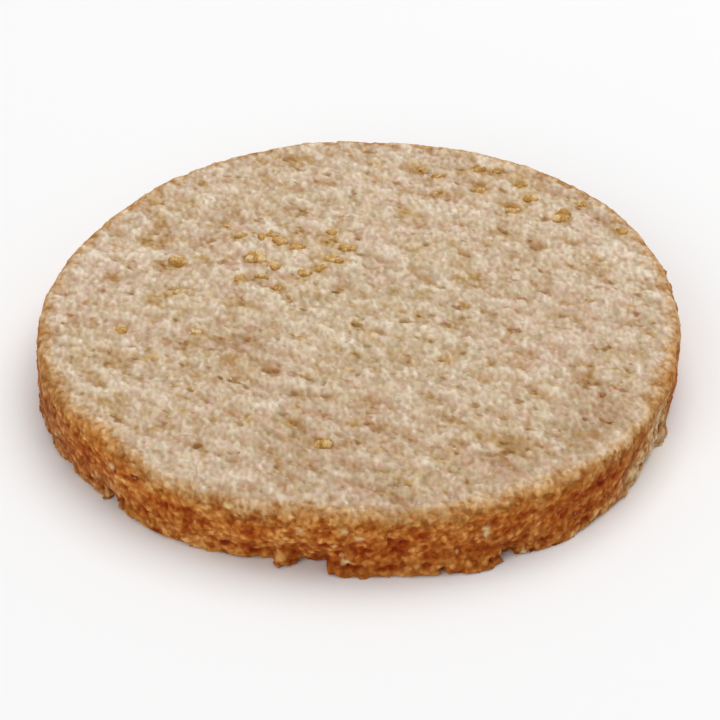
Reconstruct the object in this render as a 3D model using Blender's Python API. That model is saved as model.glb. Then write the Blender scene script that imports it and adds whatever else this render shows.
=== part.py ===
"""Round shortbread biscuit: one slab of crumbly dough, cut with a plain round cutter and baked.

Metres, +Z up. The origin is at the middle of the flat base, and the front is -Y.
"""

import math

import bmesh
import bpy
from mathutils import Vector, noise

# Driving dimensions.
DIAMETER = 0.0668
THICKNESS = 0.0075
SHOULDER = 0.0011
LOWER_EDGE = 0.0004

# The cutter's circle is not quite true. Each wave around it is a count, a height and
# the direction of a crest in degrees.
OUTLINE_WAVES = (
    (2, 0.00010, 80),
    (3, 0.00034, 70),
    (4, 0.00025, 30),
    (5, 0.00010, -28),
)

# Where dough spread or broke away at the foot of the side. Each place is a direction in degrees,
# a half width in degrees, how far it stands out or, below zero, is broken in, and how high it reaches.
FOOT_CHANGES = (
    (-143, 5, -0.0004, 0.0028),
    (-127, 12, 0.0005, 0.0040),
    (-102, 11, -0.0016, 0.0034),
    (-74, 13, 0.0009, 0.0028),
    (-56, 7, 0.0004, 0.0030),
    (-22, 24, -0.0009, 0.0065),
    (24, 10, -0.0009, 0.0030),
    (61, 14, 0.0006, 0.0028),
    (98, 8, -0.0012, 0.0032),
    (137, 12, 0.0005, 0.0030),
)

# The slow rise and fall of the top, and the lumps of the side.
TOP_SWELL = 0.00022
TOP_SWELL_LENGTH = 0.012
SIDE_LUMP = 0.00022
SIDE_LUMP_LENGTH = 0.0032
# How quickly the lumps die away from the side towards the middle, as a power of the distance.
LUMP_FALL = 8
# The lower edge's one middle ring, as a share of its rounding both in from the side and up from the base.
LOWER_EDGE_MIDDLE = 0.3

# How finely the slab is faceted.
STEPS_AROUND = 132
TOP_RINGS = 11
SHOULDER_RINGS = 4
SIDE_RINGS = 5
BASE_RINGS = 3
SHARP_ANGLE = 40.0

CRUMB_COLOUR = (0.58, 0.42, 0.26, 1.0)
CRUMB_ROUGHNESS = 0.85


def clear_scene():
    for obj in list(bpy.data.objects):
        bpy.data.objects.remove(obj)


def hump(offset):
    """A smooth bump that is 1 at 0 and falls to nothing at 1."""
    return 0.0 if abs(offset) >= 1.0 else (1.0 + math.cos(math.pi * offset)) / 2


def turn_between(direction, other):
    """The signed angle between two directions, in degrees."""
    return (direction - other + 180.0) % 360.0 - 180.0


def foot_change(direction, height):
    """How far the side stands out, or is broken in, at this direction and height."""
    degrees = math.degrees(direction)
    change = 0.0
    for middle, half_width, depth, reach in FOOT_CHANGES:
        around = hump(turn_between(degrees, middle) / half_width)
        change += depth * around * math.sqrt(max(0.0, 1.0 - height / reach))
    return change


def edge_radius(direction, height):
    """The radius of the side before its shoulder and lower edge are rounded."""
    radius = DIAMETER / 2
    for count, size, crest in OUTLINE_WAVES:
        radius += size * math.cos(count * (direction - math.radians(crest)))
    return radius + foot_change(direction, height)


def profile():
    """The slab's rings from the base's middle round the side to the top's middle.

    Each is (share of the edge radius, inset from the edge, height).
    """
    base = [(ring / BASE_RINGS, LOWER_EDGE, 0.0) for ring in range(1, BASE_RINGS + 1)]
    lower_edge = [(1.0, LOWER_EDGE * LOWER_EDGE_MIDDLE, LOWER_EDGE * LOWER_EDGE_MIDDLE)]
    side = []
    side_height = THICKNESS - SHOULDER - LOWER_EDGE
    for ring in range(SIDE_RINGS + 1):
        side.append((1.0, 0.0, LOWER_EDGE + side_height * ring / SIDE_RINGS))
    shoulder = []
    for ring in range(1, SHOULDER_RINGS + 1):
        turn = math.pi / 2 * ring / SHOULDER_RINGS
        height = THICKNESS - SHOULDER * (1 - math.sin(turn))
        shoulder.append((1.0, SHOULDER * (1 - math.cos(turn)), height))
    top = [(1 - ring / TOP_RINGS, SHOULDER, THICKNESS) for ring in range(1, TOP_RINGS)]
    return base + lower_edge + side + shoulder + top


def surface_change(place, height):
    """The offset that the side's lumps and the top's swell give to a point of the slab."""
    outward = Vector((place.x, place.y, 0.0)).normalized()
    lump = SIDE_LUMP * noise.noise(place / SIDE_LUMP_LENGTH)
    on_side = min(1.0, place.xy.length / (DIAMETER / 2)) ** LUMP_FALL
    # The swell only ever lowers the top, so no point stands above the slab's thickness.
    swell = TOP_SWELL * (noise.noise(place / TOP_SWELL_LENGTH) - 1.0)
    raised = max(0.0, (height - LOWER_EDGE) / (THICKNESS - LOWER_EDGE))
    return outward * lump * on_side + Vector((0.0, 0.0, swell * raised))


def ring_points(share, inset, height):
    points = []
    for step in range(STEPS_AROUND):
        direction = 2 * math.pi * step / STEPS_AROUND
        radius = (edge_radius(direction, height) - inset) * share
        place = Vector((radius * math.cos(direction), radius * math.sin(direction), height))
        points.append(place + surface_change(place, height))
    return points


def bridge(mesh, lower, upper):
    for step in range(STEPS_AROUND):
        after = (step + 1) % STEPS_AROUND
        mesh.faces.new((lower[step], lower[after], upper[after], upper[step]))


def cap(mesh, ring, middle, facing_up):
    for step in range(STEPS_AROUND):
        edge = (ring[step], ring[(step + 1) % STEPS_AROUND])
        mesh.faces.new((*edge, middle) if facing_up else (*reversed(edge), middle))


def centre_on_base(mesh):
    """Moves the slab so that the origin is at the bottom centre of its bounding box."""
    low = Vector([min(vert.co[axis] for vert in mesh.verts) for axis in range(3)])
    high = Vector([max(vert.co[axis] for vert in mesh.verts) for axis in range(3)])
    middle = (low + high) / 2
    bmesh.ops.translate(mesh, verts=mesh.verts, vec=(-middle.x, -middle.y, -low.z))


def slab_mesh():
    mesh = bmesh.new()
    rings = [[mesh.verts.new(point) for point in ring_points(*station)] for station in profile()]
    for lower, upper in zip(rings, rings[1:]):
        bridge(mesh, lower, upper)
    base_middle = mesh.verts.new((0.0, 0.0, 0.0))
    top_place = Vector((0.0, 0.0, THICKNESS))
    top_middle = mesh.verts.new(top_place + surface_change(top_place, THICKNESS))
    cap(mesh, rings[0], base_middle, facing_up=False)
    cap(mesh, rings[-1], top_middle, facing_up=True)
    centre_on_base(mesh)
    finished = bpy.data.meshes.new("biscuit")
    mesh.to_mesh(finished)
    mesh.free()
    return finished


def crumb_material():
    material = bpy.data.materials.new("baked_crumb")
    material.use_nodes = True
    shader = material.node_tree.nodes["Principled BSDF"]
    shader.inputs["Base Color"].default_value = CRUMB_COLOUR
    shader.inputs["Roughness"].default_value = CRUMB_ROUGHNESS
    shader.inputs["Metallic"].default_value = 0.0
    return material


def build_biscuit():
    mesh = slab_mesh()
    mesh.materials.append(crumb_material())
    mesh.shade_smooth()
    mesh.set_sharp_from_angle(angle=math.radians(SHARP_ANGLE))
    biscuit = bpy.data.objects.new("biscuit", mesh)
    bpy.context.scene.collection.objects.link(biscuit)


clear_scene()
build_biscuit()
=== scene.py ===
import math
import random

import bmesh
import bpy
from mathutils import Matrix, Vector
from mathutils.bvhtree import BVHTree


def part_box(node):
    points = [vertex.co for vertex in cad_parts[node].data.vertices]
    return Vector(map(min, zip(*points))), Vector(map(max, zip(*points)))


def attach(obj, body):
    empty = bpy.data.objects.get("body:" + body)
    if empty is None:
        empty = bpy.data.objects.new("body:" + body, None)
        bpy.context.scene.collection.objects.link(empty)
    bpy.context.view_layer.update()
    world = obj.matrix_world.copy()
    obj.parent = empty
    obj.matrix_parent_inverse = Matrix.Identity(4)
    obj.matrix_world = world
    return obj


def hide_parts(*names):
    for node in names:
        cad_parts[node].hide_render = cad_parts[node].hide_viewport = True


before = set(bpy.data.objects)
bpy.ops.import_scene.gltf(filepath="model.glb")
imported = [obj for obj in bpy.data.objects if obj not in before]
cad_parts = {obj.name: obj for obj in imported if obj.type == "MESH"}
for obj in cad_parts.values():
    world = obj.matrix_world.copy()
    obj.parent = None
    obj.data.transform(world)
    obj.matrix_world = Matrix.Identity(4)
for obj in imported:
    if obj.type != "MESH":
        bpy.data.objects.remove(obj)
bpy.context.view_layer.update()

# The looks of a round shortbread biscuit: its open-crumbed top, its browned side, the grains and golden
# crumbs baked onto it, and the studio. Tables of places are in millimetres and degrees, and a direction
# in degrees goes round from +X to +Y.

LOW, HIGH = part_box("biscuit")
THICKNESS = HIGH.z - LOW.z
RADIUS = (HIGH.x - LOW.x + HIGH.y - LOW.y) / 4
MM = 0.001
# The size of the swirls that bend the crumb's patterns.
BEND = 0.8 * MM


# ---------------------------------------------------------------- node trees


class Wire:
    """An output in a node tree. Sums, products and the like of wires add Math nodes to the tree."""

    def __init__(self, graph, socket):
        self.graph = graph
        self.socket = socket

    def maths(self, operation, *values):
        """A Math node on these values, or a Vector Math node if any of them is a vector."""
        vectors = any(isinstance(value, Wire) and value.socket.type == "VECTOR" for value in values)
        kind = "ShaderNodeVectorMath" if vectors else "ShaderNodeMath"
        return self.graph.add(kind, {"operation": operation}, dict(enumerate(values)))

    def __add__(self, other):
        return self.maths("ADD", self, other)

    def __sub__(self, other):
        return self.maths("SUBTRACT", self, other)

    def __mul__(self, other):
        return self.maths("MULTIPLY", self, other)

    def __truediv__(self, other):
        return self.maths("DIVIDE", self, other)

    def __radd__(self, other):
        return self.maths("ADD", other, self)

    def __rsub__(self, other):
        return self.maths("SUBTRACT", other, self)

    def __rmul__(self, other):
        return self.maths("MULTIPLY", other, self)

    def __rtruediv__(self, other):
        return self.maths("DIVIDE", other, self)

    def __neg__(self):
        return self.maths("MULTIPLY", self, -1.0)

    def rise(self, start, end):
        """0 before start, 1 after end, and smooth between them."""
        inputs = {"Value": self, "From Min": start, "From Max": end}
        return self.graph.add("ShaderNodeMapRange", {"interpolation_type": "SMOOTHSTEP"}, inputs)

    def axis(self, name):
        """One of the three numbers of a vector."""
        return self.graph.add("ShaderNodeSeparateXYZ", {}, {0: self}, name)

    def vector(self, operation, other=0.0, output="Value"):
        """What a Vector Math node makes of this vector, or of it and another."""
        inputs = {0: self, 1: other}
        return self.graph.add("ShaderNodeVectorMath", {"operation": operation}, inputs, output)

    def twin(self, output):
        """Another output of the same node."""
        return Wire(self.graph, self.socket.node.outputs[output])

    def streaked(self, degrees, stretch):
        """This place turned and squeezed, so that a pattern on it is drawn out in a level direction."""
        turn = math.radians(degrees)
        along = self.vector("DOT_PRODUCT", (math.cos(turn) / stretch, math.sin(turn) / stretch, 0.0))
        across = self.vector("DOT_PRODUCT", (-math.sin(turn), math.cos(turn), 0.0))
        parts = {"X": along, "Y": across, "Z": self.axis("Z")}
        return self.graph.add("ShaderNodeCombineXYZ", {}, parts)


class Graph:
    """A node tree while it is being built."""

    def __init__(self, tree):
        self.tree = tree

    def add(self, kind, settings, inputs, output=0):
        """Adds one node: first its settings, then the values or wires of its sockets."""
        node = self.tree.nodes.new(kind)
        for name, value in settings.items():
            if name == "stops":
                set_stops(node.color_ramp, value)
            else:
                setattr(node, name, value)
        for name, value in inputs.items():
            socket = node.inputs[name]
            if isinstance(value, Wire):
                self.tree.links.new(value.socket, socket)
            elif socket.type == "VECTOR" and isinstance(value, (int, float)):
                socket.default_value = (value, value, value)
            else:
                socket.default_value = value
        return Wire(self, node.outputs[output]) if node.outputs else node

    def noise(self, place, size, detail=2.0, output=0):
        """Noise about 0.5, whose lumps are this size."""
        inputs = {"Vector": place, "Scale": 1 / size, "Detail": detail}
        return self.add("ShaderNodeTexNoise", {}, inputs, output)

    def swirl(self, place, size, detail=2.0):
        """Three noises as a vector about 0, to bend a place with."""
        return self.noise(place, size, detail, "Color") - 0.5

    def bent(self, place, far):
        """A place moved about, so that no pattern on it runs too straight or round."""
        return place + self.swirl(place, BEND, 1.0) * far

    def cells(self, place, size):
        """How far a place is from the middle of its cell, in cells of this size."""
        inputs = {"Vector": place, "Scale": 1 / size}
        return self.add("ShaderNodeTexVoronoi", {}, inputs, "Distance")


def set_stops(ramp, stops):
    """Makes a colour ramp go through these stops, each a place from 0 to 1 and a colour."""
    while len(ramp.elements) < len(stops):
        ramp.elements.new(0.5)
    for element, (place, colour) in zip(ramp.elements, stops):
        element.position = place
        element.color = colour


def greatest(first, *others, operation="MAXIMUM"):
    """The greatest of a wire and other wires or numbers."""
    for other in others:
        first = first.maths(operation, first, other)
    return first


def least(*values):
    return greatest(*values, operation="MINIMUM")


def geometry_graph(name, inputs):
    """A Geometry Nodes tree with one geometry input, and a named input for each size or object."""
    tree = bpy.data.node_groups.new(name, "GeometryNodeTree")
    tree.interface.new_socket("Geometry", in_out="INPUT", socket_type="NodeSocketGeometry")
    for label, value in inputs.items():
        kind = "NodeSocketFloat" if isinstance(value, float) else "NodeSocketObject"
        tree.interface.new_socket(label, in_out="INPUT", socket_type=kind)
    tree.interface.new_socket("Geometry", in_out="OUTPUT", socket_type="NodeSocketGeometry")
    graph = Graph(tree)
    entry = tree.nodes.new("NodeGroupInput")
    return graph, {socket.name: Wire(graph, socket) for socket in entry.outputs if socket.name}


def object_geometry(graph, wire):
    return graph.add("GeometryNodeObjectInfo", {}, {"Object": wire}, "Geometry")


def real_faces(graph, geometry):
    return graph.add("GeometryNodeRealizeInstances", {}, {"Geometry": geometry})


def moved(graph, geometry, offset):
    return graph.add("GeometryNodeSetPosition", {}, {"Geometry": geometry, "Offset": offset})


def stored(graph, geometry, name, value):
    inputs = {"Geometry": geometry, "Name": name, "Value": value}
    return graph.add("GeometryNodeStoreNamedAttribute", {}, inputs)


def named(graph, name, kind="FLOAT"):
    """A value that was stored on the geometry."""
    return graph.add("GeometryNodeInputNamedAttribute", {"data_type": kind}, {"Name": name}, "Attribute")


def smoothed(graph, geometry):
    inputs = {"Geometry": geometry, "Shade Smooth": True}
    return graph.add("GeometryNodeSetShadeSmooth", {}, inputs)


def finish_graph(graph, geometry, material):
    """Ends a tree: real faces instead of instances, in one material."""
    inputs = {"Geometry": real_faces(graph, geometry), "Material": material}
    dressed = graph.add("GeometryNodeSetMaterial", {}, inputs)
    graph.add("NodeGroupOutput", {}, {"Geometry": dressed})


def plain_mesh(obj):
    """The object's mesh as its modifiers leave it."""
    view = bpy.context.evaluated_depsgraph_get()
    return bpy.data.meshes.new_from_object(obj.evaluated_get(view), depsgraph=view)


def grown(name, mesh, graph, values):
    """Runs a Geometry Nodes tree over a mesh, and gives the result as a plain mesh."""
    carrier = bpy.data.objects.new(name + "_carrier", mesh)
    bpy.context.scene.collection.objects.link(carrier)
    modifier = carrier.modifiers.new(name, "NODES")
    modifier.node_group = graph.tree
    for item in graph.tree.interface.items_tree:
        if item.in_out == "INPUT" and item.name in values:
            modifier[item.identifier] = values[item.name]
    result = plain_mesh(carrier)
    carrier.modifiers.remove(modifier)
    bpy.data.objects.remove(carrier)
    result.name = name
    return result


def placed(name, mesh):
    piece = bpy.data.objects.new(name, mesh)
    bpy.context.scene.collection.objects.link(piece)
    return piece


# ---------------------------------------------------------------- the body of the biscuit

# The body is thinned to at most this many triangles. A piece has to stay under 200,000
# triangles.
MOST_TRIANGLES = 196000
# How far the space that is searched for the skin reaches beyond the slab.
MARGIN = 1.2 * MM
# The slab's lower edge is rounded, so its side is found no lower than this, in millimetres.
LOWER_EDGE = 0.5

# The size of each kind of lump in the crumb, and how high or deep it is.
BODY = {
    "Voxel": 0.2 * MM,
    "Hump": 1.1 * MM,
    "Hump height": 0.26 * MM,
    "Furrow": 1.6 * MM,
    "Furrow depth": 0.24 * MM,
    "Swell": 3.2 * MM,
    "Swell height": 0.3 * MM,
    "Granule": 0.6 * MM,
    "Granule height": 0.08 * MM,
    "Granule step": 0.06 * MM,
    "Nub": 0.42 * MM,
    "Nub height": 0.2 * MM,
    "Grit": 0.3 * MM,
    "Grit height": 0.05 * MM,
    "Clod": 1.5 * MM,
    "Clod height": 0.22 * MM,
    "Pit": 0.95 * MM,
    "Pit depth": 0.22 * MM,
}
# Where the noise that makes the pits begins to sink the skin, and where it has sunk all the way.
PIT_RISE = (0.62, 0.82)
# Each pattern that is drawn out on the top: in which direction, and how many times.
STREAKS = {
    "Hump": (-64, 1.7),
    "Furrow": (-32, 2.6),
    "Swell": (-28, 4.0),
    "Granule": (-75, 1.6),
    "Nub": (-85, 1.8),
    "Pit": (-30, 1.5),
    "Spot": (-30, 1.5),
    "Hue": (-25, 2.0),
}

# Holes in the top: across and back from the middle, then half length, half width and depth, and the
# direction of the length.
TOP_HOLES = (
    (-0.2, -1.6, 0.7, 0.32, 0.55, -35),
    (1.9, -4.4, 1.4, 0.2, 0.25, -55),
    (12.2, 7, 0.5, 0.3, 0.3, 10),
    (20.8, -0.1, 0.7, 0.28, 0.35, 5),
    (16.3, 19.9, 0.5, 0.35, 0.3, -30),
    (23.3, -10.3, 0.45, 0.35, 0.35, -60),
    (24.4, -13.6, 0.4, 0.35, 0.35, 40),
    (12.9, -23.3, 0.7, 0.35, 0.3, 0),
    (14.2, -17.4, 0.9, 0.25, 0.25, -20),
    (-17.6, -8.6, 0.5, 0.35, 0.3, 30),
    (-12.6, -11.5, 0.7, 0.3, 0.25, -30),
    (9.6, -1.8, 0.6, 0.25, 0.3, -40),
    (11.6, -15.3, 0.5, 0.3, 0.3, -35),
    (-11.8, -18.5, 0.6, 0.25, 0.25, -40),
    (-14.4, -17.7, 0.4, 0.3, 0.25, 0),
    (21.7, -13.6, 0.5, 0.25, 0.3, 50),
    (24, 2.5, 0.6, 0.25, 0.25, -20),
    (-14, -10.8, 0.5, 0.3, 0.25, -50),
    (-19.2, -7.8, 0.5, 0.3, 0.25, 20),
    (7.4, 4.3, 0.5, 0.2, 0.25, -30),
    (-0.5, -18.2, 0.4, 0.3, 0.35, -30),
    (-6.7, -18.2, 0.35, 0.3, 0.3, 0),
)
# How far below the slab's highest level the middles of those holes lie.
TOP_HOLE_SUNK = 0.1 * MM
# Hollows in the side: direction and height, then half width, half tallness and depth.
SIDE_HOLES = (
    (-152, 2.6, 0.45, 0.3, 0.23),
    (-136.7, 4.9, 0.3, 0.22, 0.18),
    (-135.1, 1.2, 0.36, 1.1, 0.72),
    (-131.7, 5.4, 0.45, 0.22, 0.18),
    (-128.9, 2, 0.34, 0.26, 0.23),
    (-126.4, 0.6, 0.68, 0.19, 0.27),
    (-112.8, 1.6, 0.99, 0.35, 0.64),
    (-108.2, 1.3, 0.63, 0.25, 0.56),
    (-95.6, 3.5, 0.52, 0.26, 0.23),
    (-88.5, 3.2, 0.38, 0.3, 0.27),
    (-85.5, 1.1, 0.9, 0.22, 0.23),
    (-82.5, 4.3, 0.52, 0.15, 0.23),
    (-79.8, 4.8, 0.52, 0.15, 0.18),
    (-78.9, 1.5, 0.3, 0.26, 0.27),
    (-73.7, 0, 0.3, 0.3, 0.27),
    (-66.9, 0.9, 0.98, 0.22, 0.72),
    (-63.9, 1.4, 0.3, 0.34, 0.36),
    (-62.6, 0.3, 0.38, 0.22, 0.32),
    (-60.5, 0.2, 0.38, 0.22, 0.54),
    (-57.6, 1.3, 0.83, 0.21, 0.54),
    (-49.3, 1.3, 0.38, 0.26, 0.41),
    (-45.8, 4.7, 0.3, 0.26, 0.23),
    (-35.2, 4.9, 0.34, 0.26, 0.23),
    (-32.3, 1.5, 0.45, 0.3, 0.36),
    (-28, 2.9, 0.45, 0.38, 0.36),
    (-22, 2, 0.45, 0.3, 0.36),
)
# Cream crumbs on the side: direction and height.
SPECKS = (
    (-156.2, 2.3), (-137.3, 5.1), (-121.8, 6.7), (-112.5, 6.5), (-100, 5.1), (-92.3, 5.5),
    (-92.1, 1.7), (-90, 4.8), (-68.6, 4.7), (-68.6, 4.1), (-61.6, 0.4), (-52.4, 0.5), (-46.6, 1.2),
    (-35.7, 1.9), (-32.8, 3.3), (-29.7, 4.4),
)
# Chips out of the foot, from one direction to another: how far in from the plain radius and how high they
# reach, and how much they have died away by their ends.
CHIPS = (
    (-160.8, -158.2, 1.4, 1.3, 0.4),
    (-153, -149, 0.5, 1, 0.4),
    (-139.4, -136.5, 2.4, 2, 0.2),
    (-109, -107, 1.9, 1, 0.6),
    (-100.5, -95.6, 2.4, 2.9, 0),
    (-76.6, -75.6, 0.6, 0.5, 0),
    (-65.9, -62.8, 0.6, 1, 0),
    (-30.5, -23.5, 0.9, 1.6, 0.6),
    (24, 31, 0.7, 1.8, 0.5),
    (95, 104, 1, 2.2, 0.5),
    (148, 153, 0.9, 1.5, 0.5),
)
# Where the foot stands out from the plain radius, or below zero stays short of it, in the same way.
LEDGES = (
    (-171, -163, 0.2, 3, 0.6),
    (-147.5, -139.5, -0.1, 2, 0.5),
    (-123.5, -113, -0.2, 2.5, 0.6),
    (-106, -99.8, -0.9, 3.4, 1),
    (-104.9, -101.6, -0.1, 1.7, 0.8),
    (-95.4, -84, 0.4, 2.6, 0.1),
    (-84, -73.6, 0.35, 3, 0.1),
    (-73.6, -66.8, 1.7, 3.2, 0.5),
    (-62.6, -49, 1.3, 2.6, 0.7),
    (-46, -38, -0.2, 2, 0.6),
    (-36.5, -32.5, 0.1, 2.5, 0.5),
    (-23.5, -17, 0.1, 4, 1.2),
    (54, 66, 0.6, 2.4, 0.6),
)
# How far a ledge leans in behind the plain radius by its top.
LEDGE_LEAN = 0.9
# Golden crumbs that fell on the top and baked there: across and back from the middle, then half length and
# half width, the direction of the length, and how much paler than the others it is.
GOLDEN_CRUMBS = (
    (-12.5, 14, 0.5, 0.4, 0, 0),
    (-9.7, 13.9, 0.9, 0.6, 5, 0.05),
    (-8.3, 13, 0.7, 0.45, -20, 0),
    (-6.4, 12.2, 0.7, 0.5, -20, 0),
    (-11, 10.4, 0.85, 0.65, 0, 0.15),
    (-8.9, 8.8, 0.5, 0.45, 0, 0.1),
    (-10.3, 6.7, 0.9, 0.4, 0, 0.1),
    (-12.4, 6.4, 0.5, 0.35, 20, 0),
    (-3, 15, 0.45, 0.4, 0, -0.1),
    (-1.5, 12, 1.05, 0.45, -30, 0.1),
    (-2.9, 13.4, 0.9, 0.25, 25, 0),
    (-2.9, 10.1, 0.65, 0.4, -20, 0.1),
    (-1.9, 9.5, 0.5, 0.35, 40, 0),
    (-4.2, 8.4, 0.85, 0.4, 40, 0.05),
    (-5.6, 7.5, 0.65, 0.5, 0, 0.05),
    (-8.4, 4.8, 0.35, 0.25, 0, 0),
    (-14.1, 16.3, 0.35, 0.25, 0, 0),
    (13.1, 27, 0.75, 0.4, 0, -0.25),
    (15, 26.8, 0.4, 0.35, 0, -0.2),
    (13, 22.9, 0.5, 0.4, 0, 0.1),
    (18.4, 21.4, 0.65, 0.55, 0, -0.05),
    (16.4, 18.9, 0.65, 0.5, -20, 0),
    (17.6, 23.9, 0.5, 0.4, 30, -0.2),
    (21.8, 17.8, 0.8, 0.7, 0, 0.1),
    (23.9, 20.1, 0.45, 0.4, 0, 0),
    (28.1, 15, 0.65, 0.4, 0, 0.05),
    (8.6, 22.6, 0.35, 0.3, 0, 0.1),
    (8.5, 25.6, 1, 0.3, 10, -0.25),
    (6.8, 27.2, 0.35, 0.3, 0, -0.2),
    (-3.6, -21.4, 0.5, 0.65, 0, 0),
    (-19, 9.7, 0.8, 0.6, 0, 0.05),
    (-24.4, -2.6, 0.6, 0.5, -30, 0.1),
    (-16.7, -3, 0.6, 0.3, -20, 0.5),
    (-19.2, 3.9, 0.4, 0.3, 0, 0.2),
)
# Golden stains without a crumb on them: across and back from the middle.
STAINS = (
    (-21.3, 3), (-20.4, 13.7), (-22.6, 14.1), (-21.9, 12.6), (-25.6, 7), (-0.2, -1.6), (1.2, -3.2),
    (10.6, 6.6), (12.2, 7), (9, -7.5), (-12.9, -8), (-0.5, -18.2), (-6.7, -18.2), (16.3, 19.9),
    (17.2, 26), (11.4, 26.6), (5.1, 18.6), (-21.7, 20.9), (-21.2, 16.7), (-10.5, 28.6), (-5.9, 29),
    (2, 28.4), (17.7, 25.1), (9.2, -22.7), (13.6, -20.9), (6, 27.8), (12.9, 23.8), (-11, -17.9),
)
# How far the colour of each kind of mark spreads.
REACHES = {"Stain reach": 1.5 * MM, "Hole reach": 0.55 * MM, "Speck reach": 0.55 * MM}
# How far below the slab's highest level the marks on the top are centred.
STAIN_SUNK = 0.2 * MM
HOLE_MARK_SUNK = 0.3 * MM
# Where the side broke open and shows its rougher, paler inside: direction and height, how far it reaches,
# and how rough and pale it is.
BROKEN = (
    (-163, 4.5, 9, 0.35),
    (-152, 1.5, 6, 0.2),
    (-140, 1, 5, 0.2),
    (-35, 1.2, 4.8, 0.85),
    (-24, 2.8, 6.5, 0.9),
)


def slab_mesh():
    """The plain slab as one closed, smooth mesh."""
    slab = bmesh.new()
    slab.from_mesh(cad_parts["biscuit"].data)
    bmesh.ops.remove_doubles(slab, verts=slab.verts, dist=0.001 * MM)
    mesh = bpy.data.meshes.new("slab")
    slab.to_mesh(mesh)
    slab.free()
    mesh.shade_smooth()
    return mesh


def slab_tree():
    """The plain slab's faces, ready to be hit by a ray."""
    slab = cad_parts["biscuit"].data
    corners = [vert.co for vert in slab.vertices]
    return BVHTree.FromPolygons(corners, [face.vertices for face in slab.polygons])


SLAB_TREE = slab_tree()


def top_spot(across, back):
    """The place at the slab's highest level, this far from its middle."""
    return (across * MM, back * MM, HIGH.z)


def side_spot(degrees, height):
    """The place on the plain slab's side in this direction and at this height."""
    turn = math.radians(degrees)
    outward = Vector((math.cos(turn), math.sin(turn), 0.0))
    start = outward * RADIUS * 2 + Vector((0.0, 0.0, LOW.z + max(height, LOWER_EDGE) * MM))
    found, normal, face, away = SLAB_TREE.ray_cast(start, -outward)
    return Vector((found.x, found.y, LOW.z + height * MM))


def patches(place, spot, table):
    """The sum of round patches. Each row is where one is, how far it reaches, and its strength."""
    change = 0.0
    for first, second, reach, strength in table:
        away = place.vector("DISTANCE", spot(first, second))
        change = change + (1 - away / (reach * MM)).rise(0.0, 1.0) * strength
    return change


def slab_distance(graph, slab, place):
    """How far a place is outside the slab, below zero inside it, and which way the skin faces there."""
    nearest = {0: slab, "Sample Position": place}
    skin = graph.add("GeometryNodeProximity", {"target_element": "FACES"}, nearest, "Position")
    normal = graph.add("GeometryNodeInputNormal", {}, {})
    sample = {"Mesh": slab, "Value": normal, "Sample Position": place}
    facing = graph.add("GeometryNodeSampleNearestSurface", {"data_type": "FLOAT_VECTOR"}, sample)
    away = place - skin
    sign = graph.add("ShaderNodeMath", {"operation": "SIGN"}, {0: away.vector("DOT_PRODUCT", facing)})
    return away.vector("LENGTH") * sign, facing


def hole(place, centre, half_sizes, degrees):
    """How deep a place lies inside an egg-shaped hole, below zero outside it."""
    turn = math.radians(degrees)
    away = place - centre
    ways = (
        (math.cos(turn), math.sin(turn), 0.0),
        (-math.sin(turn), math.cos(turn), 0.0),
        (0.0, 0.0, 1.0),
    )
    shares = []
    for way, half_size in zip(ways, half_sizes):
        shares.append(away.vector("DOT_PRODUCT", tuple(part / half_size for part in way)))
    share = place.graph.add("ShaderNodeCombineXYZ", {}, dict(enumerate(shares)))
    return (1 - share.vector("LENGTH")) * min(half_sizes)


def holes_at(place):
    """How deep a place lies inside the holes of both tables, below zero outside them."""
    holes = []
    level = HIGH.z - TOP_HOLE_SUNK
    for x, y, length, width, depth, degrees in TOP_HOLES:
        half_sizes = (length * MM, width * MM, depth * MM)
        holes.append(hole(place, (x * MM, y * MM, level), half_sizes, degrees))
    for degrees, height, width, tallness, depth in SIDE_HOLES:
        half_sizes = (depth * MM, width * MM, tallness * MM)
        holes.append(hole(place, side_spot(degrees, height), half_sizes, degrees))
    return greatest(*holes)


def foot_wedges(place, wedges, outward):
    """How deep a place lies inside the wedges that are set on the foot, or cut out of it."""
    direction = place.maths("ARCTAN2", place.axis("Y"), place.axis("X"))
    along = direction * RADIUS
    beyond = (place * (1.0, 1.0, 0.0)).vector("LENGTH") - RADIUS
    raised = place.axis("Z") - LOW.z
    depths = []
    for start, end, depth, height, fade in wedges:
        first = math.radians(start) * RADIUS
        last = math.radians(end) * RADIUS
        lean = max(depth, 0.0) + LEDGE_LEAN if outward else depth
        length = math.hypot(lean, height)
        share = (along - (first + last) / 2) / ((last - first) / 2)
        faded = share * share * share * share * (fade * MM)
        reach = depth * MM - faded
        ends = [along - first, last - along]
        if outward:
            slope = (reach - beyond) * (height / length) - raised * (lean / length)
            depths.append(least(*ends, slope, raised, height * MM - raised))
        else:
            slope = (beyond + reach) * (height / length) - raised * (lean / length)
            depths.append(least(*ends, slope))
    return greatest(*depths)


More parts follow.
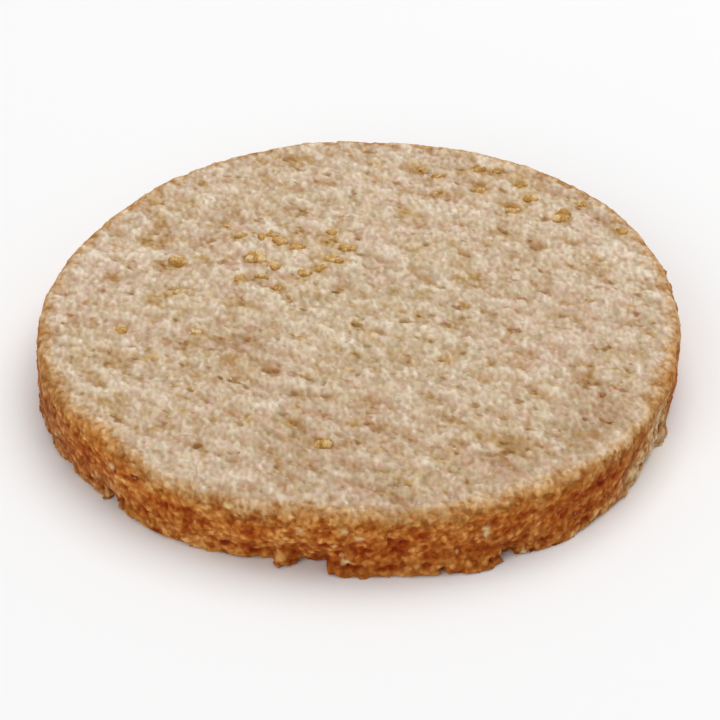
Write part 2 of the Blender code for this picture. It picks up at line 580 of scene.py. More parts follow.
def fields(graph, place, sizes, top):
    """What the crumb's shape and colours follow: streaks where top is 1, and round lumps where it is 0."""
    bent = graph.bent(place, 0.5 * MM)
    drawn_hump = graph.noise(bent.streaked(*STREAKS["Hump"]), sizes["Hump"], 1.0) - 0.5
    round_hump = graph.noise((bent + 0.1) * (1.0, 1.0, 1.7), sizes["Hump"] * 1.2, 1.0) - 0.5
    drawn_furrow = graph.noise(place.streaked(*STREAKS["Furrow"]) + 0.5, sizes["Furrow"], 0.0) - 0.5
    round_furrow = graph.noise((place + 0.5) * (1.0, 1.0, 1.4), sizes["Furrow"], 0.0) - 0.5
    drawn_nub = graph.noise(bent.streaked(*STREAKS["Nub"]) + 0.2, sizes["Nub"], 0.0) - 0.5
    round_nub = graph.noise(bent + 0.2, sizes["Nub"], 0.0) - 0.5
    middle = graph.cells(bent.streaked(*STREAKS["Granule"]), sizes["Granule"])
    return {
        "hump": drawn_hump * top + round_hump * (1 - top),
        "furrow": drawn_furrow * top + round_furrow * (1 - top),
        "swell": graph.noise(place.streaked(*STREAKS["Swell"]) + 0.9, sizes["Swell"], 0.0) - 0.5,
        "pit": graph.noise(bent.streaked(*STREAKS["Pit"]) + 0.7, sizes["Pit"], 1.0),
        "nub": drawn_nub * top + round_nub * (1 - top),
        "granule": 0.4 - middle,
        "step": middle.twin("Color").axis("X") - 0.5,
        "hue": middle.twin("Color").axis("Y") - 0.5,
    }


def crumb_relief(graph, place, sizes, facing):
    """How far the crumb stands out from the slab, below zero where it falls short of it."""
    up = facing.axis("Z")
    top = up.rise(0.2, 0.9)
    under = (-up).rise(0.3, 0.9)
    side = 1 - top - under
    rough = patches(place, side_spot, BROKEN)
    field = fields(graph, place, sizes, top)
    flat = field["hump"] * sizes["Hump height"] + field["furrow"] * sizes["Furrow depth"]
    flat = flat + field["swell"] * sizes["Swell height"]
    fine = field["granule"] * sizes["Granule height"] + field["step"] * sizes["Granule step"]
    fine = fine + (graph.noise(place + 0.3, sizes["Grit"], 0.0) - 0.5) * sizes["Grit height"]
    fine = fine + field["nub"] * sizes["Nub height"]
    fine = fine * (1 - side * 0.1 + rough * 1.2)
    clod = 0.4 - graph.cells(graph.bent(place, 0.9 * MM) + 0.6, sizes["Clod"])
    clod = clod * sizes["Clod height"] * (1 + rough * 2.0)
    pits = field["pit"].rise(*PIT_RISE) * sizes["Pit depth"] * (top + side * 1.5)
    return flat * (top + side * 0.65) + fine + clod * side - pits - under * (0.05 * MM)


def skin_of(graph, slab, outside, voxel):
    """The surface where a field that says how far outside it a place is comes to zero."""
    box = graph.add("GeometryNodeBoundBox", {}, {"Geometry": slab}, "Min")
    low = box - MARGIN
    high = box.twin("Max") + MARGIN
    span = (high - low) / voxel
    grid = {
        "Density": 0.5 - outside * (0.5 / MM),
        "Min": low,
        "Max": high,
        **{"Resolution " + name: span.axis(name) for name in "XYZ"},
    }
    volume = graph.add("GeometryNodeVolumeCube", {}, grid)
    return graph.add("GeometryNodeVolumeToMesh", {}, {"Volume": volume, "Threshold": 0.5})


def body_graph(material):
    """The slab with its crumb, its broken foot and the holes of both tables."""
    graph, given = geometry_graph("biscuit body", BODY)
    slab = given["Geometry"]
    place = graph.add("GeometryNodeInputPosition", {}, {})
    outside, facing = slab_distance(graph, slab, place)
    torn = place + graph.swirl(place + 0.8, 1.3 * MM) * (1.1 * MM)
    shape = least(outside, -foot_wedges(torn, LEDGES, True))
    shape = greatest(shape, foot_wedges(torn, CHIPS, False))
    shape = shape - crumb_relief(graph, place, given, facing)
    shape = greatest(shape, holes_at(graph.bent(place, 0.9 * MM)))
    skin = skin_of(graph, slab, shape, given["Voxel"])
    finish_graph(graph, smoothed(graph, skin), material)
    return graph


def joined_to(vert):
    """Every corner of the shell that this one belongs to."""
    found = {vert}
    waiting = [vert]
    while waiting:
        for edge in waiting.pop().link_edges:
            for other in edge.verts:
                if other not in found:
                    found.add(other)
                    waiting.append(other)
    return found


def keep_largest_shell(mesh):
    """Deletes closed bubbles inside the crumb and loose specks outside it."""
    parts = bmesh.new()
    parts.from_mesh(mesh)
    left = set(parts.verts)
    shells = []
    while left:
        shell = joined_to(next(iter(left)))
        left -= shell
        shells.append(shell)
    shells.sort(key=len)
    loose = [vert for shell in shells[:-1] for vert in shell]
    bmesh.ops.delete(parts, geom=loose, context="VERTS")
    parts.to_mesh(mesh)
    parts.free()


def thinned(mesh, most):
    """The mesh with its flattest faces collapsed until it has at most this many triangles."""
    triangles = sum(len(face.vertices) - 2 for face in mesh.polygons)
    carrier = bpy.data.objects.new("thinning", mesh)
    bpy.context.scene.collection.objects.link(carrier)
    modifier = carrier.modifiers.new("thin", "DECIMATE")
    modifier.ratio = min(1.0, most / triangles)
    result = plain_mesh(carrier)
    carrier.modifiers.remove(modifier)
    bpy.data.objects.remove(carrier)
    return result


def closeness(graph, points, place, reach):
    """1 at the points and 0 beyond their reach."""
    nearest = {0: object_geometry(graph, points), "Sample Position": place}
    away = graph.add("GeometryNodeProximity", {"target_element": "POINTS"}, nearest, "Distance")
    return (1 - away / reach).rise(0.05, 0.75)


# How hollow a place is comes from the skin's distance to a blurred copy of itself: a little for small
# hollows, and much more for broad ones. The crumb's colour is darkened in them as painted shade.
BLUR_ROUNDS = {"hollow": 4, "dip": 24}


def marks_graph(inputs, material):
    """Stores what the colours go by: how far over the rim a place is, how hollow, and what marks it."""
    graph, given = geometry_graph("biscuit marks", inputs)
    skin = given["Geometry"]
    slab = object_geometry(graph, given["Slab"])
    place = graph.add("GeometryNodeInputPosition", {}, {})
    level = place * (1.0, 1.0, 0.0) + (0.0, 0.0, (LOW.z + HIGH.z) / 2)
    beyond, facing = slab_distance(graph, slab, level)
    rim = HIGH.z - place.axis("Z") + beyond
    normal = graph.add("GeometryNodeInputNormal", {}, {})
    swirl = graph.swirl(place, 0.6 * MM, 1.0)
    far_strayed = place + swirl * (1.4 * MM)
    strayed = place + swirl * (0.7 * MM)
    values = {
        "rim": rim / MM,
        "gold": closeness(graph, given["Stains"], far_strayed, given["Stain reach"]),
        # Near the holes the colour is darkened and browned: partly the holes' browner crumb, partly painted
        # shade.
        "burnt": closeness(graph, given["Holes"], strayed, given["Hole reach"]),
        "cream": closeness(graph, given["Specks"], strayed, given["Speck reach"]),
    }
    for name, rounds in BLUR_ROUNDS.items():
        blur = {"Value": place, "Iterations": rounds}
        blurred = graph.add("GeometryNodeBlurAttribute", {"data_type": "FLOAT_VECTOR"}, blur)
        values[name] = (blurred - place).vector("DOT_PRODUCT", normal) / MM
    for name, value in values.items():
        skin = stored(graph, skin, name, value)
    finish_graph(graph, skin, material)
    return graph


def stand(mesh):
    """Flattens what reaches below the level that the biscuit stands on."""
    for vert in mesh.vertices:
        vert.co.z = max(vert.co.z, LOW.z)


def points_object(name, places):
    """A guide that is only points, which is removed again once a tree has read it."""
    mesh = bpy.data.meshes.new(name)
    mesh.from_pydata(places, [], [])
    return placed(name, mesh)


def hole_places():
    """Three places along each hole of both tables."""
    places = []
    shares = (-0.6, 0.0, 0.6)
    for x, y, length, width, depth, degrees in TOP_HOLES:
        turn = math.radians(degrees)
        for share in shares:
            place_x = x + share * length * math.cos(turn)
            place_y = y + share * length * math.sin(turn)
            places.append((place_x * MM, place_y * MM, HIGH.z - HOLE_MARK_SUNK))
    for degrees, height, width, tallness, depth in SIDE_HOLES:
        for share in shares:
            turn = math.degrees(share * width * MM / RADIUS)
            places.append(side_spot(degrees + turn, height))
    return places


def make_body():
    material = crumb_material()
    slab = slab_mesh()
    body = grown("crumb_body", slab, body_graph(material), BODY)
    keep_largest_shell(body)
    stand(body)
    body = thinned(body, MOST_TRIANGLES)
    stand(body)
    stained = [(x * MM, y * MM, HIGH.z - STAIN_SUNK) for x, y, *rest in GOLDEN_CRUMBS + STAINS]
    guides = {
        "Slab": placed("slab_guide", slab),
        "Stains": points_object("stain_guide", stained),
        "Holes": points_object("hole_guide", hole_places()),
        "Specks": points_object("speck_guide", [side_spot(*row) for row in SPECKS]),
    }
    values = {**guides, **REACHES}
    body = grown("crumb_body", body, marks_graph(values, material), values)
    for guide in guides.values():
        bpy.data.objects.remove(guide)
    return placed("crumb_body", body)


# ---------------------------------------------------------------- grains and golden crumbs

# Grains of flour and sugar on the top, and coarser crumb on the side: how far apart they are, how thin and
# thick, how deep they are sunk, between which depths over the rim they lie in millimetres, and how much
# darker or paler than the crumb they are.
FLAKES = {
    "Apart": 1.2 * MM,
    "Thinnest": 0.2 * MM,
    "Thickest": 0.42 * MM,
    "Sunk": 0.08 * MM,
    "From": -4.0,
    "To": 0.0,
    "Darkest": 0.0,
    "Palest": 0.35,
    "Seed": 3.0,
}
SIDE_GRAINS = {
    "Apart": 1.5 * MM,
    "Thinnest": 0.2 * MM,
    "Thickest": 0.45 * MM,
    "Sunk": 0.12 * MM,
    "From": -0.1,
    "To": THICKNESS / MM - 0.3,
    "Darkest": -0.2,
    "Palest": 0.12,
    "Seed": 8.0,
}
# How long, wide and thick a grain is for its size, at the least and at the most.
NARROWEST = (1.0, 0.6, 0.35)
WIDEST = (1.7, 1.0, 0.7)


def random_value(graph, low, high, seed):
    inputs = {2: low, 3: high, "Seed": seed}
    return graph.add("FunctionNodeRandomValue", {"data_type": "FLOAT"}, inputs, 1)


def grains_graph(material, sizes):
    """Grains baked half into the crumb, on the part of the skin between two depths over the rim."""
    graph, given = geometry_graph("grains", sizes)
    rim = named(graph, "rim")
    place = graph.add("GeometryNodeInputPosition", {}, {})
    inside = rim.maths("GREATER_THAN", rim, given["From"]) * rim.maths("LESS_THAN", rim, given["To"])
    spread = {
        "Mesh": given["Geometry"],
        "Selection": inside,
        "Distance Min": given["Apart"],
        "Density Max": 1 / (given["Apart"] * given["Apart"]) * 2.0,
        "Density Factor": graph.noise(place, 3.0 * MM).rise(0.2, 0.6),
        "Seed": given["Seed"],
    }
    kind = "GeometryNodeDistributePointsOnFaces"
    points = graph.add(kind, {"distribute_method": "POISSON"}, spread, "Points")
    normal = points.twin("Normal")
    heading = graph.add("ShaderNodeCombineXYZ", {}, {"Z": random_value(graph, -1.7, 0.1, 5)})
    lying = {"Rotation": heading, "Vector": normal}
    lying = graph.add("FunctionNodeAlignRotationToVector", {"axis": "Z"}, lying)
    points = stored(graph, points, "tint", random_value(graph, given["Darkest"], given["Palest"], 1))
    points = moved(graph, points, normal * (-1.0) * given["Sunk"])
    grain = graph.add("GeometryNodeMeshIcoSphere", {}, {"Radius": 1.0, "Subdivisions": 1}, "Mesh")
    size = random_value(graph, 0.0, 1.0, 2)
    size = given["Thinnest"] + (given["Thickest"] - given["Thinnest"]) * size * size
    kind = "FunctionNodeRandomValue"
    stretch = {0: NARROWEST, 1: WIDEST, "Seed": 4}
    scattered = {
        "Points": points,
        "Instance": grain,
        "Rotation": lying,
        "Scale": graph.add(kind, {"data_type": "FLOAT_VECTOR"}, stretch) * size,
    }
    grains = graph.add("GeometryNodeInstanceOnPoints", {}, scattered)
    grains = moved(graph, real_faces(graph, grains), graph.swirl(place, 0.3 * MM) * (0.2 * MM))
    finish_graph(graph, smoothed(graph, grains), material)
    return graph


def make_grains(name, body, material, sizes):
    mesh = grown(name, body.data, grains_graph(material, sizes), sizes)
    stand(mesh)
    return placed(name, mesh)


# How many nubs a golden crumb is made of, how finely they are fused, and how big and deep their dents are.
NUBS = 8
NUB = {"Fused": 0.1 * MM, "Dent": 0.3 * MM, "Dent depth": 0.36 * MM}

# Which way a golden crumb's painted light comes from, so that its faces turned that way are painted paler
# and those turned away painted darker as painted shade, and how high its nubs are dropped from.
PAINTED_LIGHT_WAY = (0.3, 0.5, 0.8)
DROP = 0.01


def crumbs_graph(material, body):
    """A nub at each point, dropped straight down onto the body, and fused with those it touches."""
    graph, given = geometry_graph("golden crumbs", {"Body": body, **NUB})
    drop = {0: object_geometry(graph, given["Body"]), "Ray Direction": (0.0, 0.0, -1.0), "Ray Length": 0.1}
    landing = graph.add("GeometryNodeRaycast", {}, drop, "Hit Position")
    raised = graph.add("ShaderNodeCombineXYZ", {}, {"Z": named(graph, "raised")})
    dropped = {"Geometry": given["Geometry"], "Position": landing + raised}
    points = graph.add("GeometryNodeSetPosition", {}, dropped)
    lump = graph.add("GeometryNodeMeshIcoSphere", {}, {"Radius": 1.0, "Subdivisions": 2}, "Mesh")
    place = graph.add("GeometryNodeInputPosition", {}, {})
    turned = graph.add("ShaderNodeCombineXYZ", {}, {"Z": named(graph, "heading")})
    spread = {
        "Points": points,
        "Instance": lump,
        "Rotation": turned,
        "Scale": named(graph, "half_sizes", "FLOAT_VECTOR"),
    }
    nubs = graph.add("GeometryNodeInstanceOnPoints", {}, spread)
    filled = {
        "Mesh": real_faces(graph, nubs),
        "Voxel Size": given["Fused"],
        "Interior Band Width": given["Fused"] * 2.0,
    }
    volume = graph.add("GeometryNodeMeshToVolume", {"resolution_mode": "VOXEL_SIZE"}, filled)
    crumbs = graph.add("GeometryNodeVolumeToMesh", {}, {"Volume": volume, "Threshold": 0.2})
    crumbs = moved(graph, crumbs, graph.swirl(place, given["Dent"]) * given["Dent depth"] * 2.0)
    facing = graph.add("GeometryNodeInputNormal", {}, {})
    # How far each face turns towards the painted light, for the golden crumbs' painted light and shade.
    crumbs = stored(graph, crumbs, "crown", facing.vector("DOT_PRODUCT", PAINTED_LIGHT_WAY))
    nearest = graph.add("GeometryNodeSampleNearest", {}, {"Geometry": points, "Sample Position": place})
    tint = {"Geometry": points, "Value": named(graph, "tint"), "Index": nearest}
    crumbs = stored(graph, crumbs, "tint", graph.add("GeometryNodeSampleIndex", {}, tint))
    finish_graph(graph, smoothed(graph, crumbs), material)
    return graph


def mark_points(mesh, name, kind, values):
    """Stores a value, or a vector's three values, for each point."""
    field = "vector" if kind == "FLOAT_VECTOR" else "value"
    mesh.attributes.new(name, kind, "POINT").data.foreach_set(field, values)


def make_golden_crumbs(body, material):
    """Each crumb is a heap of nubs along its length."""
    chance = random.Random(11)
    places, sizes, headings, heights, tints = [], [], [], [], []
    for x, y, length, width, degrees, tint in GOLDEN_CRUMBS:
        turn = math.radians(degrees)
        for number in range(NUBS):
            along = chance.uniform(-0.85, 0.85) * length
            across = chance.uniform(-0.9, 0.9) * width
            place_x = x + along * math.cos(turn) - across * math.sin(turn)
            place_y = y + along * math.sin(turn) + across * math.cos(turn)
            places.append((place_x * MM, place_y * MM, HIGH.z + DROP))
            size = width * chance.uniform(0.6, 1.05) * MM
            sizes += [size * chance.uniform(0.9, 1.3), size, size * chance.uniform(0.9, 1.3)]
            headings.append(turn + chance.uniform(-1.0, 1.0))
            heights.append(chance.uniform(-0.5, 0.0) * width * MM)
            tints.append(tint + chance.uniform(-0.3, 0.3))
    mesh = bpy.data.meshes.new("crumb_points")
    mesh.from_pydata(places, [], [])
    mark_points(mesh, "half_sizes", "FLOAT_VECTOR", sizes)
    mark_points(mesh, "heading", "FLOAT", headings)
    mark_points(mesh, "raised", "FLOAT", heights)
    mark_points(mesh, "tint", "FLOAT", tints)
    crumbs = grown("golden_crumbs", mesh, crumbs_graph(material, body), {"Body": body, **NUB})
    return placed("golden_crumbs", crumbs)


# ---------------------------------------------------------------- materials


def shader_graph(name):
    """A new material, the graph of its nodes, and its shader."""
    material = bpy.data.materials.new(name)
    material.use_nodes = True
    return material, Graph(material.node_tree), material.node_tree.nodes["Principled BSDF"]


def mixed(graph, share, first, second):
    settings = {"data_type": "RGBA"}
    return graph.add("ShaderNodeMix", settings, {"Factor": share, 6: first, 7: second}, 2)


def shade(red, green, blue):
    return (red, green, blue, 1.0)


def attribute(graph, name):
    return graph.add("ShaderNodeAttribute", {"attribute_name": name}, {}, "Fac")


def feed(shader, name, wire):
    wire.graph.tree.links.new(wire.socket, shader.inputs[name])


def ramped(graph, value, stops):
    return graph.add("ShaderNodeValToRGB", {"stops": stops}, {0: value}, "Color")


# The crumb's colour by how far over the rim it lies, in millimetres: from the pale top to the browned foot.
BAKED = (
    (-1.8, shade(0.61, 0.48, 0.36)),
    (-1.0, shade(0.575, 0.38, 0.21)),
    (-0.2, shade(0.505, 0.278, 0.112)),
    (0.5, shade(0.47, 0.217, 0.068)),
    (1.2, shade(0.475, 0.196, 0.043)),
    (1.9, shade(0.46, 0.160, 0.027)),
    (2.6, shade(0.445, 0.136, 0.020)),
    (3.6, shade(0.43, 0.121, 0.016)),
    (5.6, shade(0.415, 0.122, 0.018)),
    (7.1, shade(0.43, 0.146, 0.025)),
)
# The colours that the baked tone is mixed with.
TONES = {
    "broken": shade(0.52, 0.33, 0.15),
    "plain dough": shade(0.535, 0.448, 0.265),
    "pink dough": shade(0.605, 0.395, 0.295),
    "outer dough": shade(0.60, 0.395, 0.29),
    "yellow dough": shade(0.57, 0.41, 0.20),
    "golden": shade(0.48, 0.28, 0.085),
    "burnt": shade(0.36, 0.18, 0.035),
    "cream": shade(0.80, 0.58, 0.28),
}
# The size of each pattern that only the materials have.
PATTERNS = {
    "Ragged": 0.55 * MM,
    "Wavy": 2.5 * MM,
    "Torn": 1.6 * MM,
    "Hue": 1.4 * MM,
    "Yellow": 0.8 * MM,
    "Slow": 5.0 * MM,
    "Spot": 1.3 * MM,
    "Speck": 0.9 * MM,
    "Browning": 3.0 * MM,
    "Grit": 0.24 * MM,
    "Golden": 0.3 * MM,
}
# Between which depths over the rim the top's pattern turns into the side's.
SHOULDER = (-0.5, 1.0)
# What the body's skin stores for the crumb's colour, besides how far over the rim it is.
MARKS = ("hollow", "dip", "gold", "burnt", "cream")


def baked_tone(graph, reach):
    """The colour at this depth over the rim."""
    first = BAKED[0][0]
    length = BAKED[-1][0] - first
    stops = [((depth - first) / length, colour) for depth, colour in BAKED]
    return ramped(graph, (reach - first) / length, stops)


# Slow changes of the top's tone: across and back from the middle, how far it reaches, and how much deeper
# it is, or below zero how much paler.
SLOW_TONES = (
    (0, 26, 26, -0.08),
    (0, -27, 24, 0.1),
    (-13, -6.5, 8, 0.2),
    (-6, -22, 8, 0.12),
    (15, -28, 11, 0.2),
    (25, -19, 10, 0.3),
    (4, -31, 7, 0.25),
    (-27, -15, 8, -0.15),
    (-15, -27, 6, -0.12),
    (30, 11, 12, -0.2),
    (-29, 6, 12, -0.06),
    (-8, 11, 10, -0.18),
    (-25, 12, 7, -0.2),
)
# Where the dough is pinker, or below zero less pink, in the same way.
PINK_TONES = (
    (3, -3, 18, -0.4),
)
# Where the browning starts farther in from the rim, or below zero farther out, in the same way.
BROWNING = (
    (-31, -12, 14, 0.4),
    (-25.5, -20, 6, 1.3),
    (-20, -27, 4.5, -0.8),
    (-12, -31.5, 9, -0.8),
    (-3, -33, 8, 0.5),
    (15, -30, 18, 0.7),
    (26, -20, 9, -0.5),
)
# Slow changes of the side's tone: direction and height, how far it reaches, and how much deeper it is, or
# below zero how much paler.
SIDE_TONES = (
    (-160, 4.5, 12, 0.2),
    (-154, 3.1, 4.5, -0.05),
    (-144, 6.8, 3.5, 0.1),
    (-143, 3, 6, -0.05),
    (-134, 6.8, 3.5, 0.55),
    (-134, 5, 3.5, -0.3),
    (-134, 1.2, 3, -0.15),
    (-124, 4.6, 3, 0.15),
    (-120, 3.5, 8, -0.15),
    (-119.8, 3.6, 2, 0.4),
    (-114, 6.2, 3.5, 0.1),
    (-114, 3.1, 3, -0.3),
    (-109, 5.2, 4.5, 0.3),
    (-109, 3.9, 1.7, 0.5),
    (-104, 6.8, 3.5, 0.15),
    (-104, 3, 4.5, -0.3),
    (-94, 3.2, 3.5, -0.3),
    (-94, 1.2, 3, 0.35),
    (-84, 3.2, 3, 0.15),
    (-74, 6.8, 3, 0.05),
    (-74, 5.5, 3, -0.2),
    (-74, 3, 12, 0.08),
    (-74, 3.1, 3.5, -0.25),
    (-64, 6.4, 4, 0.05),
    (-54, 6.8, 3.5, 0.1),
    (-54, 2.8, 3.5, 0.25),
    (-48, 5, 8, 0.05),
    (-44, 5.9, 3.5, 0.35),
    (-44, 1.4, 3.5, -0.25),
    (-42, 6.3, 3.5, 0.2),
    (-34, 6.8, 3.5, 0.4),
    (-34, 1.4, 4, -0.3),
    (-24, 6.8, 3.5, 0.2),
    (-24, 4.8, 3, -0.2),
    (-24, 2, 5, -0.35),
)


def crumb_fields(graph, place, rim):
    """The crumb's own fields, and more that only its colour follows."""
    field = fields(graph, place, BODY, 1 - rim.rise(*SHOULDER))
    ragged = (graph.noise(place, PATTERNS["Ragged"], 1.0) - 0.5) * 3.0
    wavy = (graph.noise(place + 0.6, PATTERNS["Wavy"]) - 0.5) * 2.0
    reach = rim + ragged + wavy + patches(place, top_spot, BROWNING)
    browned = reach.rise(-0.5, 1.0)
    lumps = field["hump"] + field["furrow"] * (0.7 - browned * 0.15) + field["swell"] * 0.26
    lumps = lumps * 0.74 + least(lumps + 0.05, 0.0) * 0.6
    fine = field["nub"] * (0.8 - browned * 0.1) + field["step"] * (0.2 + browned * 0.35)
    torn = place + graph.swirl(place, PATTERNS["Torn"], 1.0) * (4 * MM)
    field["reach"] = reach
    field["browned"] = browned
    field["pale"] = 1 - reach.rise(-2.5, -0.5)
    field["lumps"] = lumps
    field["fine"] = fine + field["granule"] * (0.3 + browned * 0.2)
    field["broken"] = patches(torn, side_spot, BROKEN)
    return field


def dough_tone(graph, place, field):
    """The pale dough's colour: pinker in its dips, and plainer on its lumps."""
    hue = field["hue"] * 0.9 + (graph.noise(place + 0.45, PATTERNS["Hue"]) - 0.5) * 1.5
    hue = hue - field["lumps"] * 0.85
    slow = graph.noise(place.streaked(*STREAKS["Hue"]) + 0.65, PATTERNS["Slow"]) - 0.5
    hue = hue + slow * 0.6 + 0.36 + patches(place, top_spot, PINK_TONES)
    return mixed(graph, hue, TONES["plain dough"], TONES["pink dough"])


def yellowness(graph, place, field):
    yellow = (graph.noise(place + 0.4, PATTERNS["Yellow"]) - 0.5) * 1.5
    yellow = yellow + (graph.noise(place + 0.2, PATTERNS["Slow"]) - 0.5) * 1.2
    return (yellow - field["lumps"] * 0.9 + 0.2).rise(0.0, 1.0) * 0.7


def crumb_tone(graph, place, rim, field, marks):
    """The crumb's colour before its relief makes it deeper or paler."""
    pale = field["pale"]
    tone = baked_tone(graph, field["reach"])
    tone = mixed(graph, field["broken"], tone, TONES["broken"])
    tone = mixed(graph, pale * pale * 0.65, tone, dough_tone(graph, place, field))
    tone = mixed(graph, rim.rise(-10.0, -3.0) * pale * 0.25, tone, TONES["outer dough"])
    tone = mixed(graph, yellowness(graph, place, field) * pale * pale, tone, TONES["yellow dough"])
    spots = graph.noise(place.streaked(*STREAKS["Spot"]) + 0.75, PATTERNS["Spot"]).rise(0.6, 0.78)
    # Golden at the spots and stains, and near the holes on the top, where it is partly their browner crumb,
    # partly painted shade.
    spots = greatest(spots * pale * 0.75, marks["gold"] * 0.6, marks["burnt"] * pale * 0.5)
    tone = mixed(graph, spots, tone, TONES["golden"])
    return mixed(graph, marks["gold"] * marks["gold"] * 0.15, tone, TONES["burnt"])


def crumb_depth(graph, place, tint, field, marks):
    """How deep the tone is, where 1 leaves it as it is: paler on high points, deeper in hollows as painted
    shade, and in pits and holes partly as painted shade.
    """
    pale = field["pale"]
    browned = field["browned"]
    lumps = field["lumps"]
    depth = 1 - lumps - field["fine"] * 0.5 - tint + browned * 0.05
    # Deeper in the pits: partly their browner crumb, partly painted shade.
    depth = depth + (field["pit"] - lumps * 0.2).rise(*PIT_RISE) * pale * 0.7
    # Painted shade: deeper in small hollows and in broad dips.
    depth = depth + marks["hollow"] * (0.4 + browned * 0.4)
    depth = depth + greatest(marks["dip"], -0.12) * (0.3 + browned * 0.5)
    depth = depth - (graph.noise(place + 0.1, PATTERNS["Browning"]) - 0.5) * browned * 0.6
    # Deeper near the holes, most on the side: partly their browner crumb, partly painted shade.
    depth = depth + marks["burnt"] * (0.1 + browned * 0.55)
    depth = depth + patches(place, top_spot, SLOW_TONES) * pale
    return depth + patches(place, side_spot, SIDE_TONES) * browned


def crumb_colour(graph, place, rim, tint, marks):
    """The baked tone, made deeper or paler by raising it to a power about 1, then lit and shaded by painted
    light, with cream specks.
    """
    field = crumb_fields(graph, place, rim)
    tone = crumb_tone(graph, place, rim, field, marks)
    depth = crumb_depth(graph, place, tint, field, marks)
    # Painted light: paler points brightened a little more, and the fine grain lit on its lumps and shaded
    # in its dips.
    below = least(depth, 1.0) - 1
    power = greatest(depth - below * 0.15, 0.6)
    powered = graph.add("ShaderNodeGamma", {}, {"Color": tone, "Gamma": power})
    scaled = {0: powered, "Scale": 1 - below * 0.14 + field["fine"] * 0.45}
    scaled = graph.add("ShaderNodeVectorMath", {"operation": "SCALE"}, scaled)
    specks = graph.noise(place + 0.35, PATTERNS["Speck"], 1.0) + field["broken"] * 0.08
    specks = specks.rise(0.68, 0.82) * field["browned"] * 0.5
    return mixed(graph, greatest(specks, marks["cream"] * 0.9), scaled, TONES["cream"])


def roughen(graph, shader, place, top):
    """Adds the grain that is too fine for the mesh, whose height is in millimetres."""
    field = fields(graph, place, BODY, top)
    grit = graph.noise(place + 0.3, PATTERNS["Grit"], 0.0) - 0.5
    height = field["granule"] * 0.045 + field["nub"] * 0.05 + grit * 0.02
    inputs = {"Strength": 1.0, "Distance": MM, "Height": height}
    feed(shader, "Normal", graph.add("ShaderNodeBump", {}, inputs))


def crumb_material():
    material, graph, shader = shader_graph("baked_crumb")
    place = graph.add("ShaderNodeTexCoord", {}, {}, "Object")
    rim = attribute(graph, "rim")
    marks = {name: attribute(graph, name) for name in MARKS}
    colour = crumb_colour(graph, place, rim, 0.0, marks)
    feed(shader, "Base Color", colour)
    roughen(graph, shader, place, 1 - rim.rise(*SHOULDER))
    matt(shader)
    return material


# The golden crumbs' colour by how pale they are, from 0 to 1. Their paleness is painted light on faces
# turned up and back, painted shade on faces turned down and to the front, and their own patches and tints.
GOLDEN = (
    (0.0, shade(0.42, 0.215, 0.045)),
    (0.4, shade(0.50, 0.268, 0.075)),
    (0.75, shade(0.61, 0.375, 0.14)),
    (1.0, shade(0.73, 0.55, 0.28)),
)


def golden_material():
    material, graph, shader = shader_graph("golden_crumb")
    place = graph.add("ShaderNodeTexCoord", {}, {}, "Object")
    patch = graph.noise(place, PATTERNS["Golden"]) - 0.5
    # Painted light and shade by the way each face turns, then the crumb's own patches and tint.
    paleness = attribute(graph, "crown") * 0.5 + 0.3 + patch * 0.9 + attribute(graph, "tint")
    colour = ramped(graph, paleness, GOLDEN)
    feed(shader, "Base Color", colour)
    roughen(graph, shader, place, 1.0)
    matt(shader)
    return material


def matt(shader):
    """Dry crumb hardly shines."""
    shader.inputs["Roughness"].default_value = 0.9
    shader.inputs["Specular IOR Level"].default_value = 0.15


def grain_material():
    material, graph, shader = shader_graph("baked_grains")
    place = graph.add("ShaderNodeTexCoord", {}, {}, "Object")
    rim = attribute(graph, "rim")
    unmarked = {name: rim * 0.0 for name in MARKS}
    colour = crumb_colour(graph, place, rim, attribute(graph, "tint"), unmarked)
    feed(shader, "Base Color", colour)
    matt(shader)
    return material


# ---------------------------------------------------------------- studio

# How high the camera looks from, how far away it is, its lens in millimetres, and how far to the right of
# the biscuit's middle and below it the camera aims.
VIEW_RISE = math.radians(36.65)
VIEW_DISTANCE = 0.38
VIEW_LENS = 183.1
VIEW_ASIDE = 0.13 * MM
VIEW_BELOW = 1.77 * MM
# Each light: its name, place, width and power.
LIGHTS = (
    ("key", (0.14, 0.2, 0.6), 0.6, 2.7),
    ("fill", (-0.3, -0.5, 0.35), 0.5, 1.2),
)
WORLD_STRENGTH = 0.45
FLOOR_HALF_WIDTH = 1.5
FLOOR_SHADE = 0.93


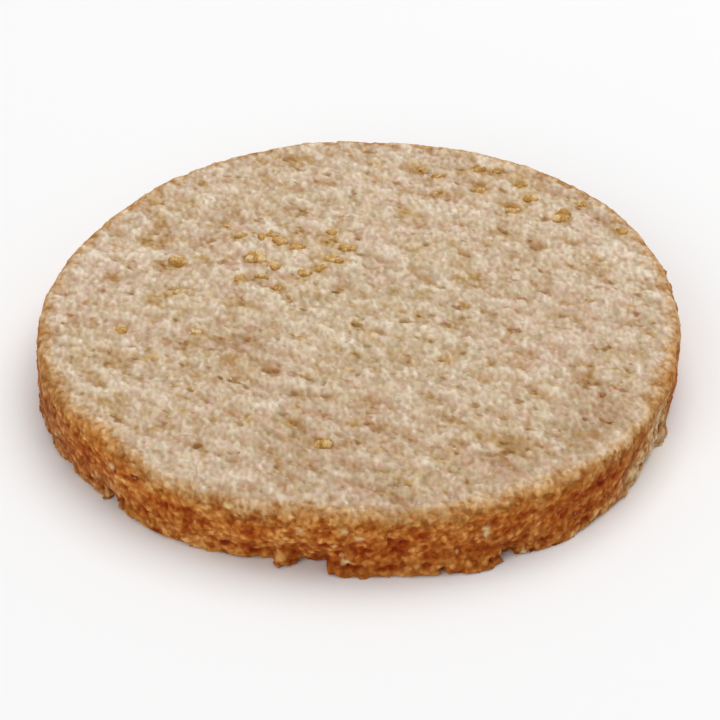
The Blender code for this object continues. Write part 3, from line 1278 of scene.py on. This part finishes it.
def make_camera():
    data = bpy.data.cameras.new("camera")
    data.lens = VIEW_LENS
    data.sensor_width = 36.0
    data.clip_start = 0.01
    camera = placed("camera", data)
    back = Vector((0.0, -math.cos(VIEW_RISE), math.sin(VIEW_RISE)))
    right = Vector((1.0, 0.0, 0.0))
    aim = Vector((0.0, 0.0, THICKNESS / 2)) + right * VIEW_ASIDE - back.cross(right) * VIEW_BELOW
    camera.location = aim + back * VIEW_DISTANCE
    camera.rotation_euler = back.to_track_quat("Z", "Y").to_euler()
    bpy.context.scene.camera = camera


def make_light(name, place, width, power):
    """A square soft light that shines at the biscuit."""
    data = bpy.data.lights.new(name, "AREA")
    data.size = width
    data.energy = power
    light = placed(name, data)
    light.location = place
    light.rotation_euler = Vector(place).to_track_quat("Z", "Y").to_euler()


def make_world():
    world = bpy.data.worlds.new("studio")
    world.use_nodes = True
    background = world.node_tree.nodes["Background"]
    background.inputs["Color"].default_value = shade(1.0, 1.0, 1.0)
    background.inputs["Strength"].default_value = WORLD_STRENGTH
    bpy.context.scene.world = world


def make_floor():
    floor = bmesh.new()
    bmesh.ops.create_grid(floor, x_segments=1, y_segments=1, size=FLOOR_HALF_WIDTH)
    bmesh.ops.translate(floor, verts=floor.verts, vec=(0.0, 0.0, LOW.z))
    mesh = bpy.data.meshes.new("floor")
    floor.to_mesh(mesh)
    floor.free()
    material, graph, shader = shader_graph("floor")
    shader.inputs["Base Color"].default_value = shade(FLOOR_SHADE, FLOOR_SHADE, FLOOR_SHADE)
    shader.inputs["Roughness"].default_value = 0.9
    mesh.materials.append(material)
    placed("floor", mesh)


# ---------------------------------------------------------------- the biscuit put together

body = make_body()
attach(body, "root")
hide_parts("biscuit")

grain_look = grain_material()
for grains in (
    make_grains("pale_flakes", body, grain_look, FLAKES),
    make_grains("side_grains", body, grain_look, SIDE_GRAINS),
):
    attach(grains, "root")

golden = make_golden_crumbs(body, golden_material())
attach(golden, "root")

make_camera()
make_world()
make_floor()
for light in LIGHTS:
    make_light(*light)
bpy.context.scene.view_settings.view_transform = "Standard"
